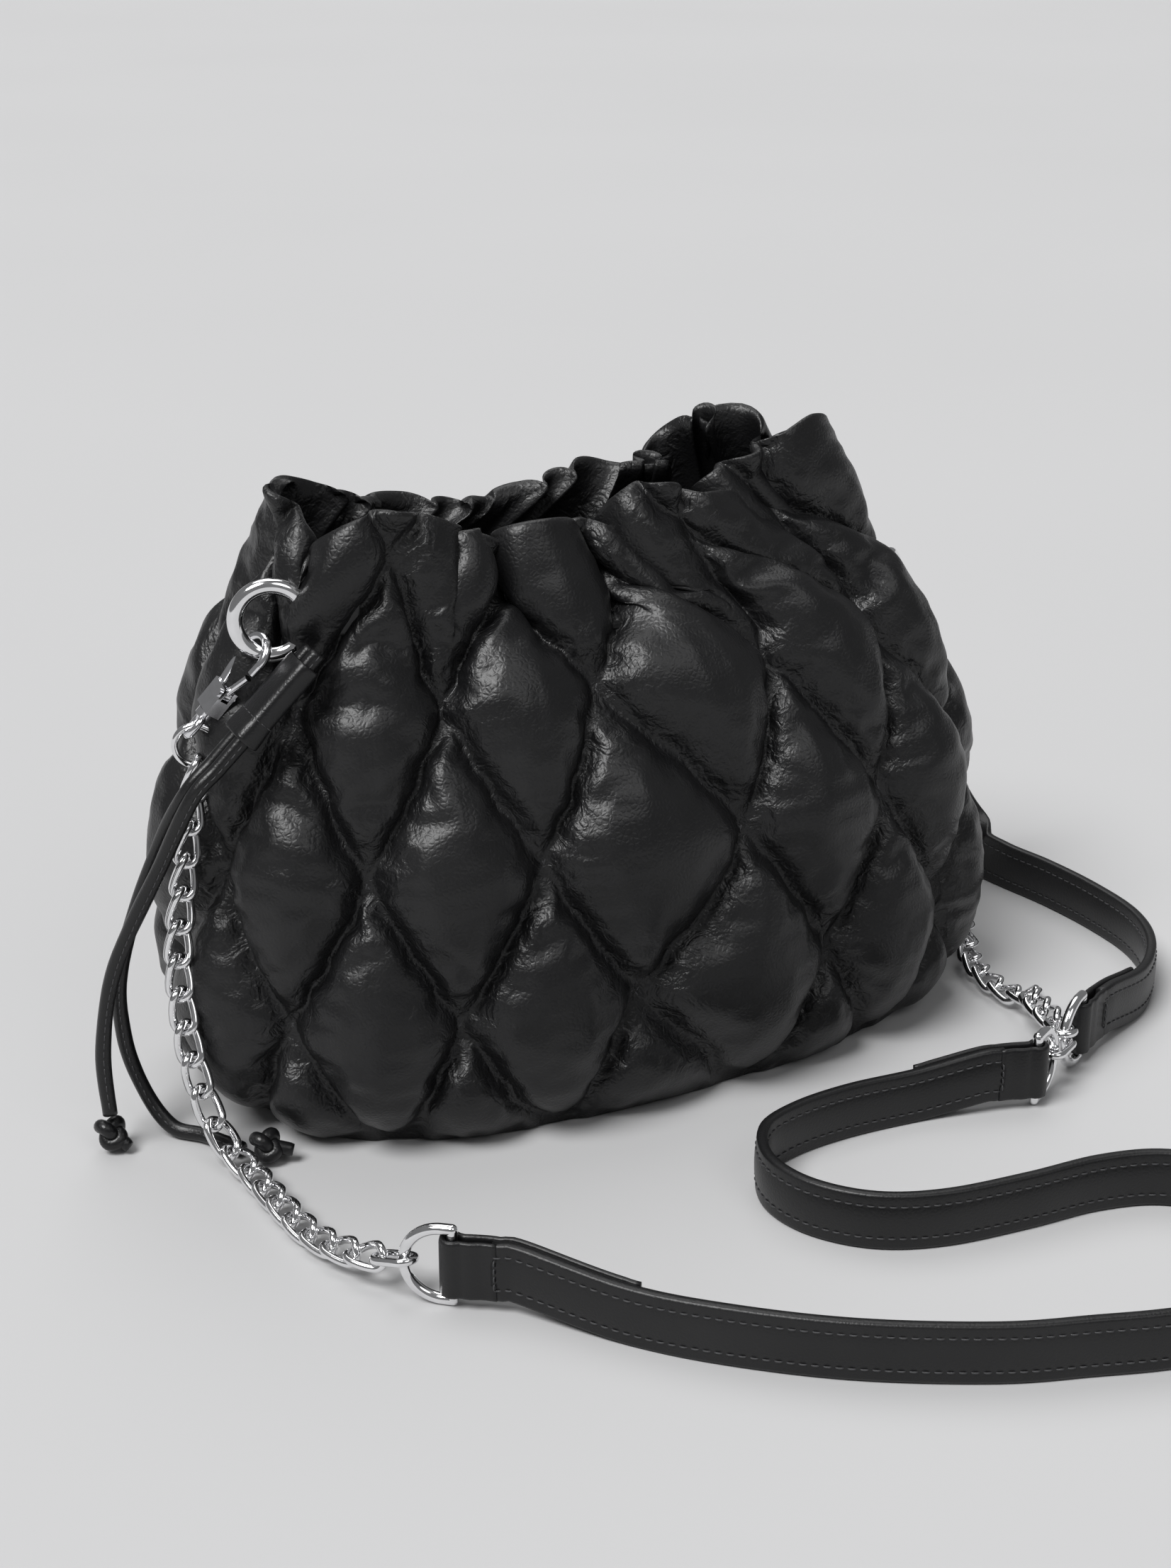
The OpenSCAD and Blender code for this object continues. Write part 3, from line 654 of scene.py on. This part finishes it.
def add_drawcord():
    one, one_path, one_length = add_tail("drawcord_tail_one", tail_start(-CORD_SIDE) + [
        (-163, -34, 102), (-176, -22, 66), (-181, -18, 36), KNOT_ONE + [0, 0, 6.6]])
    two, two_path, two_length = add_tail("drawcord_tail_two", tail_start(CORD_SIDE) + [
        (-161, -24, 102), (-171, -12, 62), (-171, -8, 34), (-167, -13, 15), (-161, -21, 3.7),
        (-153, -30, 2.8), KNOT_TWO + [-6.5, 6, -3]])
    knot_one = add_knot("drawcord_knot_one", KNOT_ONE, (4.0, -5.0, -4.0))
    knot_two = add_knot("drawcord_knot_two", KNOT_TWO, (7.5, -4.0, -2.0))
    for obj, path, length, node, knot, knot_node in (
            (one, one_path, one_length, "tail_one", knot_one, "knot_left"),
            (two, two_path, two_length, "tail_two", knot_two, "knot_right")):
        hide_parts(node)
        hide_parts(knot_node)


def add_straps():
    long, long_path, long_length = add_strap("long_strap", long_route, "bag")
    short, short_path, short_length = add_strap("short_strap", short_route, "bag")
    long_fine, _, long_face = ribbon_path(long_route, 2.5)
    short_fine, _, short_face = ribbon_path(short_route, 2.5)
    folds = [
        add_fold("fold_left", LEFT_BAR, LEFT_TURN, long_fine, long_face, True, -1, 46),
        add_fold("fold_join", JOIN_BAR, JOIN_TURN, long_fine, long_face, False, 1, 30),
        add_fold("fold_short", SHORT_BAR, SHORT_TURN, short_fine, short_face, True, -1, 30)]
    for fold, node in zip(folds, ("loop_left", "loop_join", "loop_short")):
        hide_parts(node)
    wire = RIGHT_RING_AT + (RING_R - TAB_SAG / 2) * RING_LOOP_OUT
    top_loop = add_ring_tab("short_strap_ring_loop", wire, RING_LOOP_OUT, RING_LOOP_WIDE, 12)
    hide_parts("loop_ring")
    for obj, path, length, node, pieces in (
            (long, long_path, long_length, "strap_long", folds[:2]),
            (short, short_path, short_length, "strap_short", [folds[2], top_loop])):
        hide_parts(node)


def add_ring_tabs():
    for name, at, turn, side, node in (("ring_tab_left", LEFT_RING_AT, LEFT_RING_TURN, 1, "tab_left"),
                                       ("ring_tab_right", RIGHT_RING_AT, RIGHT_RING_TURN, -1, "tab_right")):
        out = side * level(turn)
        tab = add_ring_tab(name, at + (RING_R - TAB_SAG / 2) * out, out, UP, 17)
        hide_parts(node)


# ---------------------------------------- chains
LINK_WIRE = 2.6
LINK_BEND = 3.5
LINK_STRAIGHT = 7.2
CURB_TWIST = math.radians(45)


def link_places(node):
    """Middle, heading and flat direction of each link of a CAD chain, in order from its upper end."""
    build = bmesh.new()
    build.from_mesh(bpy.data.objects[node].data)
    bmesh.ops.remove_doubles(build, verts=build.verts, dist=1e-6)
    build.verts.ensure_lookup_table()
    seen, places = set(), []
    for first in build.verts:
        if first.index in seen:
            continue
        island, edge = [], [first]
        seen.add(first.index)
        while edge:
            vert = edge.pop()
            island.append(vert.co)
            for link in vert.link_edges:
                other = link.other_vert(vert)
                if other.index not in seen:
                    seen.add(other.index)
                    edge.append(other)
        points = np.array(island) / MM
        middle = points.mean(0)
        _, axes = np.linalg.eigh(np.cov((points - middle).T))
        places.append((middle, axes[:, 2], axes[:, 1]))
    build.free()
    row = [max(range(len(places)), key=lambda k: places[k][0][2])]
    while len(row) < len(places):
        here = places[row[-1]][0]
        left = [k for k in range(len(places)) if k not in row]
        row.append(min(left, key=lambda k: np.linalg.norm(places[k][0] - here)))
    return [places[k] for k in row]


def turned(vector, axis, angle):
    return vector * math.cos(angle) + np.cross(axis, vector) * math.sin(angle)


def add_chain(name, node):
    """A curb chain: each link is twisted a quarter turn, so that they all lie in one row."""
    places = link_places(node)
    pile = Pile()
    around = 48
    turns = 2 * np.pi * (np.arange(around) + 0.5) / around
    along = LINK_BEND * np.cos(turns) + np.sign(np.cos(turns)) * LINK_STRAIGHT / 2
    across = LINK_BEND * np.sin(turns)
    oval = np.stack([along, across], -1)
    loop = np.vstack([oval, oval[:1]])
    run = np.concatenate([[0], np.cumsum(np.linalg.norm(np.diff(loop, axis=0), axis=1))])
    at = np.linspace(0, run[-1], around, endpoint=False)
    along, across = (np.interp(at, run, loop[:, k]) for k in range(2))
    before = None
    for number, (middle, axis, flat) in enumerate(places):
        ahead = places[min(number + 1, len(places) - 1)][0] - places[max(number - 1, 0)][0]
        if np.dot(axis, ahead) < 0:
            axis = -axis
        twist = CURB_TWIST
        if number == len(places) - 1:
            mean, twist = flat, 0.0
        elif before is None:
            mean = turned(flat, axis, CURB_TWIST)
        else:
            mean = max((sign * turned(flat, axis, side * CURB_TWIST) for sign in (-1, 1) for side in (-1, 1)),
                       key=lambda v: np.dot(v, before))
        before = mean
        normal = np.cross(axis, mean)
        angle = twist * along / (LINK_BEND + LINK_STRAIGHT / 2)
        path = (middle + along[:, None] * axis
                + across[:, None] * (np.cos(angle)[:, None] * mean + np.sin(angle)[:, None] * normal))
        ahead = unit_rows(np.roll(path, -1, 0) - np.roll(path, 1, 0))
        side = unit_rows(np.cross(ahead, path - middle))
        pile.sweep(path, side, np.cross(ahead, side), round_profile(LINK_WIRE / 2, 12), closed=True)
    chain = pile.build(name, "bag", CHROME)
    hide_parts(node)
    return chain


add_drawcord()
add_straps()
add_slider()
add_ring_tabs()
add_chain("curb_chain_left", "chain_left")
add_chain("curb_chain_right", "chain_right")


# ---------------------------------------- pouch: base surface
LEVEL = np.array([0, 0.06, 0.21, 0.45, 0.64, 0.79, 0.9, 1.0]) * 210
HALF_W = np.array([0.85, 0.925, 0.955, 0.935, 0.85, 0.765, 0.69, 0.62]) * 301 / 2
HALF_D = np.array([0.88, 0.93, 0.93, 0.87, 0.7, 0.5, 0.36, 0.3]) * 80
SHIFT_X = np.interp(LEVEL, [0, 94.5, 134, 166, 210], [0, 0, -4, -7, -11])
SHIFT_Y = np.interp(LEVEL, [0, 126, 210], [-5, -4, 0])
CELLS = 12
CELL_H = 100.0
SEAM_ANGLE = math.radians(279)
SEAM_Z = 93.0


def curve_through(z, values):
    """A smooth curve through the level table, so that the outline has no corners."""
    fine = np.linspace(LEVEL[0], LEVEL[-1], 141)
    rough_curve = np.interp(fine, LEVEL, values)
    kernel = np.hanning(17)
    kernel /= kernel.sum()
    padded = np.concatenate([np.full(8, rough_curve[0]), rough_curve, np.full(8, rough_curve[-1])])
    return np.interp(z, fine, np.convolve(padded, kernel, "valid"))


def pouch_point(s, z, out):
    """Points of the pouch in millimetres at angles s, heights z, moved outward by out."""
    turn = s + math.radians(8) * np.sin(2 * s)
    cos, sin = np.cos(turn), np.sin(turn)
    x = curve_through(z, SHIFT_X) + (curve_through(z, HALF_W) + out) * np.sign(cos) * np.abs(cos) ** 0.8
    y = curve_through(z, SHIFT_Y) + (curve_through(z, HALF_D) + out) * np.sign(sin) * np.abs(sin) ** 0.8
    return np.stack([x, y, z], -1)


# ---------------------------------------- pouch: rim
# The folded edge of the mouth, ear to ear along the front and back along the rear, in millimetres.
RIM_ROUTE = [
    (-111, -12, 209), (-105, -18, 201), (-98, -24, 190), (-98, -34, 199), (-91, -38, 205), (-76, -36, 202),
    (-60, -20, 191), (-55, -32, 193), (-38, -20, 182), (-35, -26, 190), (-25, -24, 189), (-12, -12, 181),
    (-10, -22, 189), (-1, -22, 184), (9, -12, 185), (8, -24, 196), (17, -28, 199), (33, -24, 192),
    (46, -12, 186), (46, -16, 197), (62, -14, 201), (81, -6, 208), (93, 4, 202), (75, 10, 195),
    (73, 20, 205), (63, 16, 204), (61, 24, 208), (52, 26, 195), (43, 14, 191), (41, 24, 194),
    (30, 16, 192), (25, 26, 188), (17, 28, 191), (2, 26, 189), (-18, 20, 184), (-31, 26, 185),
    (-46, 26, 188), (-62, 16, 190), (-73, 18, 194), (-89, 8, 201), (-101, -2, 206)]
# The place of the right ear in the route; the left ear is its first point.
RIGHT_EAR = 21
LEFT_EAR_ANGLE, RIGHT_EAR_ANGLE = math.radians(189), math.radians(352)


def closed_curve(points, per_span=12):
    """Catmull-Rom through a closed row of points; returns the fine points and the span each one is in."""
    p = np.array(points, float)
    t = (np.arange(per_span) / per_span)[None, :, None]
    a, b, c, d = (np.roll(p, k, 0)[:, None, :] for k in (1, 0, -1, -2))
    square = 2 * a - 5 * b + 4 * c - d
    cube = 3 * b - a - 3 * c + d
    return (0.5 * (2 * b + (c - a) * t + square * t * t + cube * t ** 3)).reshape(-1, 3)


def rim_points(s):
    """The rim for every column angle; fabric is shared out evenly between the two ears on each side."""
    per_span = 12
    fine = closed_curve(RIM_ROUTE, per_span)
    fine = np.vstack([fine, fine[:1]])
    run = np.concatenate([[0], np.cumsum(np.linalg.norm(np.diff(fine, axis=0), axis=1))])
    right = run[RIGHT_EAR * per_span]
    turn = (s - LEFT_EAR_ANGLE) % (2 * math.pi)
    at = np.interp(turn, [0, RIGHT_EAR_ANGLE - LEFT_EAR_ANGLE, 2 * math.pi], [0, right, run[-1]])
    return np.stack([np.interp(at, run, fine[:, k]) for k in range(3)], -1)


# ---------------------------------------- pouch: quilted skin
STEPS = 28
ROW_H = CELL_H / STEPS
COLS = CELLS * STEPS
SEAM_ROW = int(round(SEAM_Z / ROW_H))
WALL_ROWS = SEAM_ROW + int(round(46 / ROW_H)) + 1
TOP_ROWS = int(round(64 / ROW_H))
ROLL_ROWS = 3
FACING_ROWS = max(4, int(round(40 / ROW_H)))
SKIN_ROWS = WALL_ROWS + TOP_ROWS
PUFF = 9.5
SEAM_IN = 3.0
RIPPLE = 1.5


def seam_distance(across, up):
    """0 on a seam, 1 in the middle of a diamond."""
    return np.abs(np.sin(np.pi * (across + up)) * np.sin(np.pi * (across - up)))


def wobble(a, b, seed):
    """A smooth, repeatable wave field in about -1 to 1, used for uneven seams."""
    total = np.zeros(np.broadcast(a, b).shape)
    rng = np.random.default_rng(seed)
    for _ in range(6):
        fa, fb = rng.integers(2, 9, 2)
        total += np.sin(2 * np.pi * (fa * a + rng.uniform())) * np.sin(2 * np.pi * (fb * b + rng.uniform()))
    return total / 3


def skin_grid():
    """Rows of points from the base, up the outside, over the rim and down the facing."""
    i = np.arange(COLS)
    s = SEAM_ANGLE + i * 2 * math.pi / COLS
    across = i / STEPS
    rows, seam_rows = [], []
    wall_z = [SEAM_Z + (j - SEAM_ROW) * ROW_H for j in range(WALL_ROWS)]
    rim = rim_points(s)
    last = pouch_point(s, np.full(COLS, wall_z[-1]), 0)
    above = pouch_point(s, np.full(COLS, wall_z[-1] + 2), 0)
    below = pouch_point(s, np.full(COLS, wall_z[-1] - 2), 0)
    slope = (above - below) / 4
    chord = np.linalg.norm(rim - last, axis=1, keepdims=True)
    middle = np.array([rim[:, 0].mean(), 2.0, 0])
    inward = unit_rows((middle - rim) * [0.25, 1, 0])
    end_slope = unit_rows(inward * 0.25 + [0, 0, 1]) * chord * 0.9
    for j in range(SKIN_ROWS + 1):
        up = (j - SEAM_ROW) / STEPS
        if j < WALL_ROWS:
            base = pouch_point(s, np.full(COLS, max(wall_z[j], 0.6)), 0)
        else:
            t = (j - WALL_ROWS + 1) / (SKIN_ROWS - WALL_ROWS + 1)
            base = ((2 * t ** 3 - 3 * t * t + 1) * last + (t ** 3 - 2 * t * t + t) * slope * chord
                    + (3 * t * t - 2 * t ** 3) * rim + (t ** 3 - t * t) * end_slope)
        rows.append(base)
        seam_rows.append(seam_distance(across, up))
    return s, across, np.array(rows), np.array(seam_rows), rim, inward


def grid_normals(rows):
    """Outward normals of a grid that closes round its columns."""
    along = np.roll(rows, -1, 1) - np.roll(rows, 1, 1)
    upward = np.gradient(rows, axis=0)
    return unit_rows(np.cross(along, upward))


def pouch_rows():
    """All rows of the pouch mesh in millimetres, with the points that are held and those under pressure."""
    s, across, rows, seams, rim, inward = skin_grid()
    j = np.arange(len(rows))[:, None]
    up = (j - SEAM_ROW) / STEPS
    normals = grid_normals(rows)
    low = smoothstep(rows[..., 2] / 22)
    puff = PUFF * seams ** 0.38 * low
    stitched = seams < 0.5 / STEPS
    inset = SEAM_IN * (1 - smoothstep(seams / 0.25)) * (0.4 + 0.6 * low)
    side = wobble(across[None, :] / 2, up, 3)
    climb = wobble(across[None, :] / 2 + 0.3, up, 8)
    along = unit_rows(np.roll(rows, -1, 1) - np.roll(rows, 1, 1))
    ripple = (1 - smoothstep(seams / 0.3))[..., None] * low[..., None]
    outside = rows + normals * (puff - inset)[..., None]
    outside = outside + ripple * (along * side[..., None] + np.array([0, 0, 1]) * climb[..., None]) * RIPPLE

    edge = outside[-1]
    over = [edge + inward * d + np.array([0, 0, h]) for d, h in ((1.6, 1.2), (3.4, 0.4), (4.4, -1.8))]
    middle_low = pouch_point(s, np.full(COLS, 158.0), -9)
    facing = []
    for k in range(1, FACING_ROWS + 1):
        t = k / FACING_ROWS
        facing.append(over[-1] * (1 - t) ** 1.5 + middle_low * (1 - (1 - t) ** 1.5))
    grid = np.concatenate([outside, np.array(over), np.array(facing)])

    pinned = np.zeros(grid.shape[:2])
    pinned[:len(rows)][stitched] = 1
    pinned[0] = 1
    pinned[len(rows) + ROLL_ROWS:] = 1
    pressed = np.zeros(grid.shape[:2])
    pressed[:len(rows) + 1] = 1
    return grid, pinned, pressed


def grid_faces(n_rows, n_cols):
    faces = []
    for j in range(n_rows - 1):
        for i in range(n_cols):
            right = (i + 1) % n_cols
            faces.append((j * n_cols + i, j * n_cols + right, (j + 1) * n_cols + right, (j + 1) * n_cols + i))
    return faces


def paint_group(obj, name, weights):
    group = obj.vertex_groups.new(name=name)
    flat = weights.ravel()
    for level in np.unique(flat):
        if level > 0:
            group.add([int(k) for k in np.nonzero(flat == level)[0]], float(level), "REPLACE")
    return name


SIM_SCALE = 10


def simulate(obj, pinned, pressed, pressure, shrink, frames, most):
    """Blow the skin up between its stitches, then keep each point within its allowed distance."""
    count = len(obj.data.vertices)
    rest = np.empty(count * 3)
    obj.data.vertices.foreach_get("co", rest)
    rest = rest.reshape(-1, 3)
    obj.data.vertices.foreach_set("co", (rest * SIM_SCALE).ravel())
    obj.data.update()
    cloth = obj.modifiers.new("cloth", "CLOTH")
    settings = cloth.settings
    settings.quality = 4
    settings.mass = 0.02
    settings.tension_stiffness = 8
    settings.compression_stiffness = 8
    settings.shear_stiffness = 3
    settings.bending_stiffness = 6.0
    settings.tension_damping = 8
    settings.compression_damping = 8
    settings.shear_damping = 5
    settings.bending_damping = 2
    settings.air_damping = 3
    settings.vertex_group_mass = paint_group(obj, "pin", pinned)
    settings.pin_stiffness = 1
    settings.use_pressure = True
    settings.uniform_pressure_force = pressure
    settings.vertex_group_pressure = paint_group(obj, "press", pressed)
    settings.shrink_min = -shrink
    settings.effector_weights.gravity = 0
    cloth.collision_settings.use_collision = False
    cloth.collision_settings.use_self_collision = False
    cloth.point_cache.frame_start = 1
    cloth.point_cache.frame_end = frames
    for step in range(1, frames + 1):
        bpy.context.scene.frame_set(step)
    depsgraph = bpy.context.evaluated_depsgraph_get()
    moved = np.empty(count * 3)
    obj.evaluated_get(depsgraph).data.vertices.foreach_get("co", moved)
    moved = moved.reshape(-1, 3) / SIM_SCALE
    obj.modifiers.clear()
    step = moved - rest
    length = np.linalg.norm(step, axis=1, keepdims=True)
    step *= np.minimum(1, most / np.maximum(length, 1e-9))
    result = rest + step
    obj.data.vertices.foreach_set("co", result.ravel())
    obj.data.update()
    bpy.context.scene.frame_set(1)
    return result


def build_pouch():
    grid, pinned, pressed = pouch_rows()
    faces = grid_faces(*grid.shape[:2])
    obj = add_mesh("quilted_skin", grid.reshape(-1, 3) * MM, faces, SHELL, "bag")
    simulate(obj, pinned, pressed, 9.0, 0.06, 20, 6 * MM)
    points = np.empty(len(obj.data.vertices) * 3)
    obj.data.vertices.foreach_get("co", points)
    points = points.reshape(grid.shape)
    points[..., 2] = np.maximum(points[..., 2], 0.4 * MM)
    obj.data.vertices.foreach_set("co", points.ravel())
    obj.data.update()
    return obj, points


pouch, pouch_points = build_pouch()


def mark_seams():
    """How near each point is to a seam, for the creases in the leather."""
    rows, columns = pouch_points.shape[:2]
    up = (np.arange(rows)[:, None] - SEAM_ROW) / STEPS
    near = 1 - smoothstep(seam_distance(np.arange(columns)[None, :] / STEPS, up) / 0.55)
    layer = pouch.data.attributes.new("near_seam", "FLOAT", "POINT")
    layer.data.foreach_set("value", near.ravel().astype(np.float32))


mark_seams()
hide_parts("front_panel", "back_panel", "rim_facing")
finer = pouch.modifiers.new("finer", "SUBSURF")
finer.levels = 1
finer.render_levels = 1
apply_modifiers(pouch)
pouch.data.shade_smooth()


def add_quilt_stitches():
    """Stitches along both families of slanting seams, up to the gathered band."""
    points = pouch_points / MM
    normals = grid_normals(points)
    reach = WALL_ROWS + 4
    pile = Pile()
    for first in range(0, COLS, STEPS):
        for slope in (-1, 1):
            rows = np.arange(2, reach)
            columns = (first + slope * (rows - SEAM_ROW)) % COLS
            line, normal = even(points[rows, columns], 1.5, normals[rows, columns])
            pile.stitches(line + normal * 0.3, unit_rows(normal), *QUILT_STITCH, slot=0)
    stitches = pile.build("quilt_stitches", "bag", THREAD)
    return stitches


def add_lining():
    """The cloth lining: a loose bag inside, creased where it hangs from the facing."""
    rows = 26
    columns = 216
    s = np.linspace(0, 2 * math.pi, columns, endpoint=False)
    grid = []
    for k, z in enumerate(np.linspace(159, 6, rows)):
        share = k / (rows - 1)
        folds = 1.3 * np.sin(17 * s + 2.0 * np.sin(3 * s)) * (1 - 0.6 * share) * min(1, 6 * share)
        grid.append(pouch_point(s, np.full(columns, z), -10.5 - 1.5 * share)
                    + folds[:, None] * np.stack([np.cos(s), np.sin(s), 0 * s], -1))
    wall = np.array(grid)
    floor_middle = wall[-1].mean(0)
    inner = [floor_middle + (wall[-1] - floor_middle) * share for share in (0.75, 0.5, 0.25, 0.02)]
    grid = np.concatenate([wall, np.array(inner)])
    lining = add_mesh("lining_cloth", grid.reshape(-1, 3) * MM, grid_faces(*grid.shape[:2]), LINING, "bag")
    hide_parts("lining_wall", "lining_floor")
    return lining


add_quilt_stitches()
add_lining()


# ---------------------------------------- studio
def add_floor():
    mesh = bpy.data.meshes.new("studio_floor")
    reach = 60.0
    corners = [(-reach, -reach, 0), (reach, -reach, 0), (reach, reach, 0), (-reach, reach, 0)]
    mesh.from_pydata(corners, [], [(0, 1, 2, 3)])
    obj = bpy.data.objects.new("studio_floor", mesh)
    bpy.context.scene.collection.objects.link(obj)
    mesh.materials.append(plain_floor("studio_paper", (0.49, 0.49, 0.494)))
    return obj


def add_soft_sun(name, azimuth, height, strength, spread):
    """A wide, far away light, so that the paper is lit evenly to its edges."""
    data = bpy.data.lights.new(name, "SUN")
    data.energy = strength
    data.angle = math.radians(spread)
    light = bpy.data.objects.new(name, data)
    bpy.context.scene.collection.objects.link(light)
    turn, rise = math.radians(azimuth), math.radians(height)
    to_light = Vector((math.sin(turn) * math.cos(rise), -math.cos(turn) * math.cos(rise), math.sin(rise)))
    light.rotation_euler = to_light.to_track_quat("Z", "Y").to_euler()
    return light


def add_studio():
    add_floor()
    add_soft_sun("key_light", -72, 56, 3.2, 30)
    add_soft_sun("back_light", 165, 60, 0.95, 46)
    add_soft_sun("front_light", 10, 48, 0.35, 30)
    world = bpy.data.worlds.new("studio_world")
    bpy.context.scene.world = world
    world.use_nodes = True
    world.node_tree.nodes["Background"].inputs["Color"].default_value = (0.98, 0.985, 1.0, 1)
    world.node_tree.nodes["Background"].inputs["Strength"].default_value = 0.18
    bpy.context.scene.view_settings.view_transform = "Standard"


add_studio()
